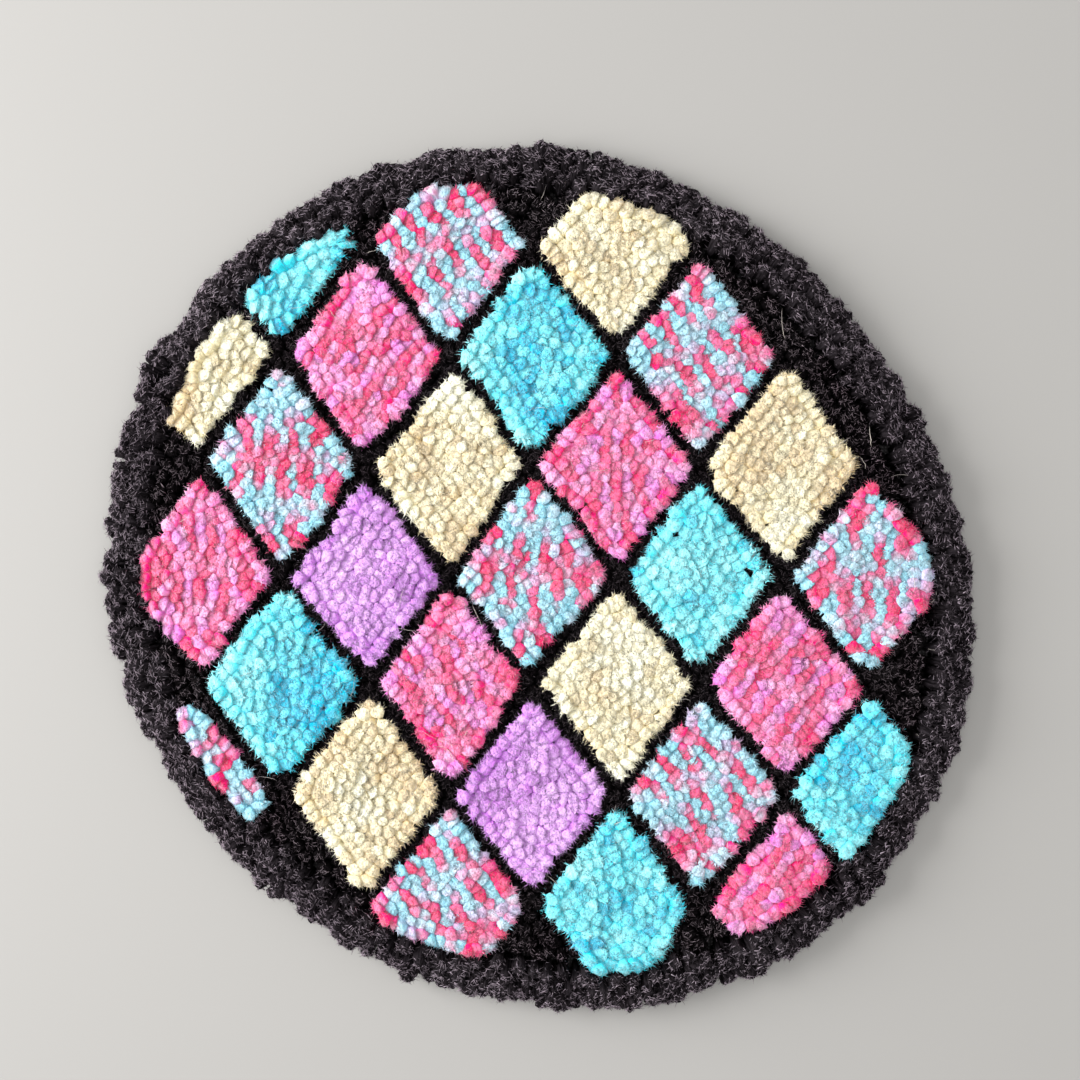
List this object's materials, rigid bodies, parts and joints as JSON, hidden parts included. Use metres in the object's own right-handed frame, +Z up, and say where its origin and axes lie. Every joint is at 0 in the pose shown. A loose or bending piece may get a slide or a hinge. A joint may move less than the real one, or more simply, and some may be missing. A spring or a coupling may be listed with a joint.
{
  "type": "table rug",
  "caption": "Round handmade table rug of cut yarn pile on a foundation cloth, lying flat, with fluffy dark locks round its rim.",
  "frame": {"origin": "on the table, under the middle of the rug", "axes": "+Z up through the pile, away from the table; +Y towards the top of the picture"},
  "size_m": [0.3032, 0.3018, 0.0142],
  "materials": {
    "charcoal_pile": "matte cut yarn pile, fuzzy",
    "cream_pile": "matte cut yarn pile, fuzzy",
    "lavender_pile": "matte cut yarn pile, fuzzy",
    "sky_pile": "matte cut yarn pile, fuzzy",
    "pink_pile": "matte cut yarn pile, dyed in short lengths of pinks",
    "pink_blue_pile": "matte cut yarn pile, dyed in short lengths of pink and pale blue",
    "foundation_cloth": "plain woven cotton, matte"
  },
  "bodies": {
    "root": {"tufted_rug": "charcoal_pile"}
  },
  "joints": []
}
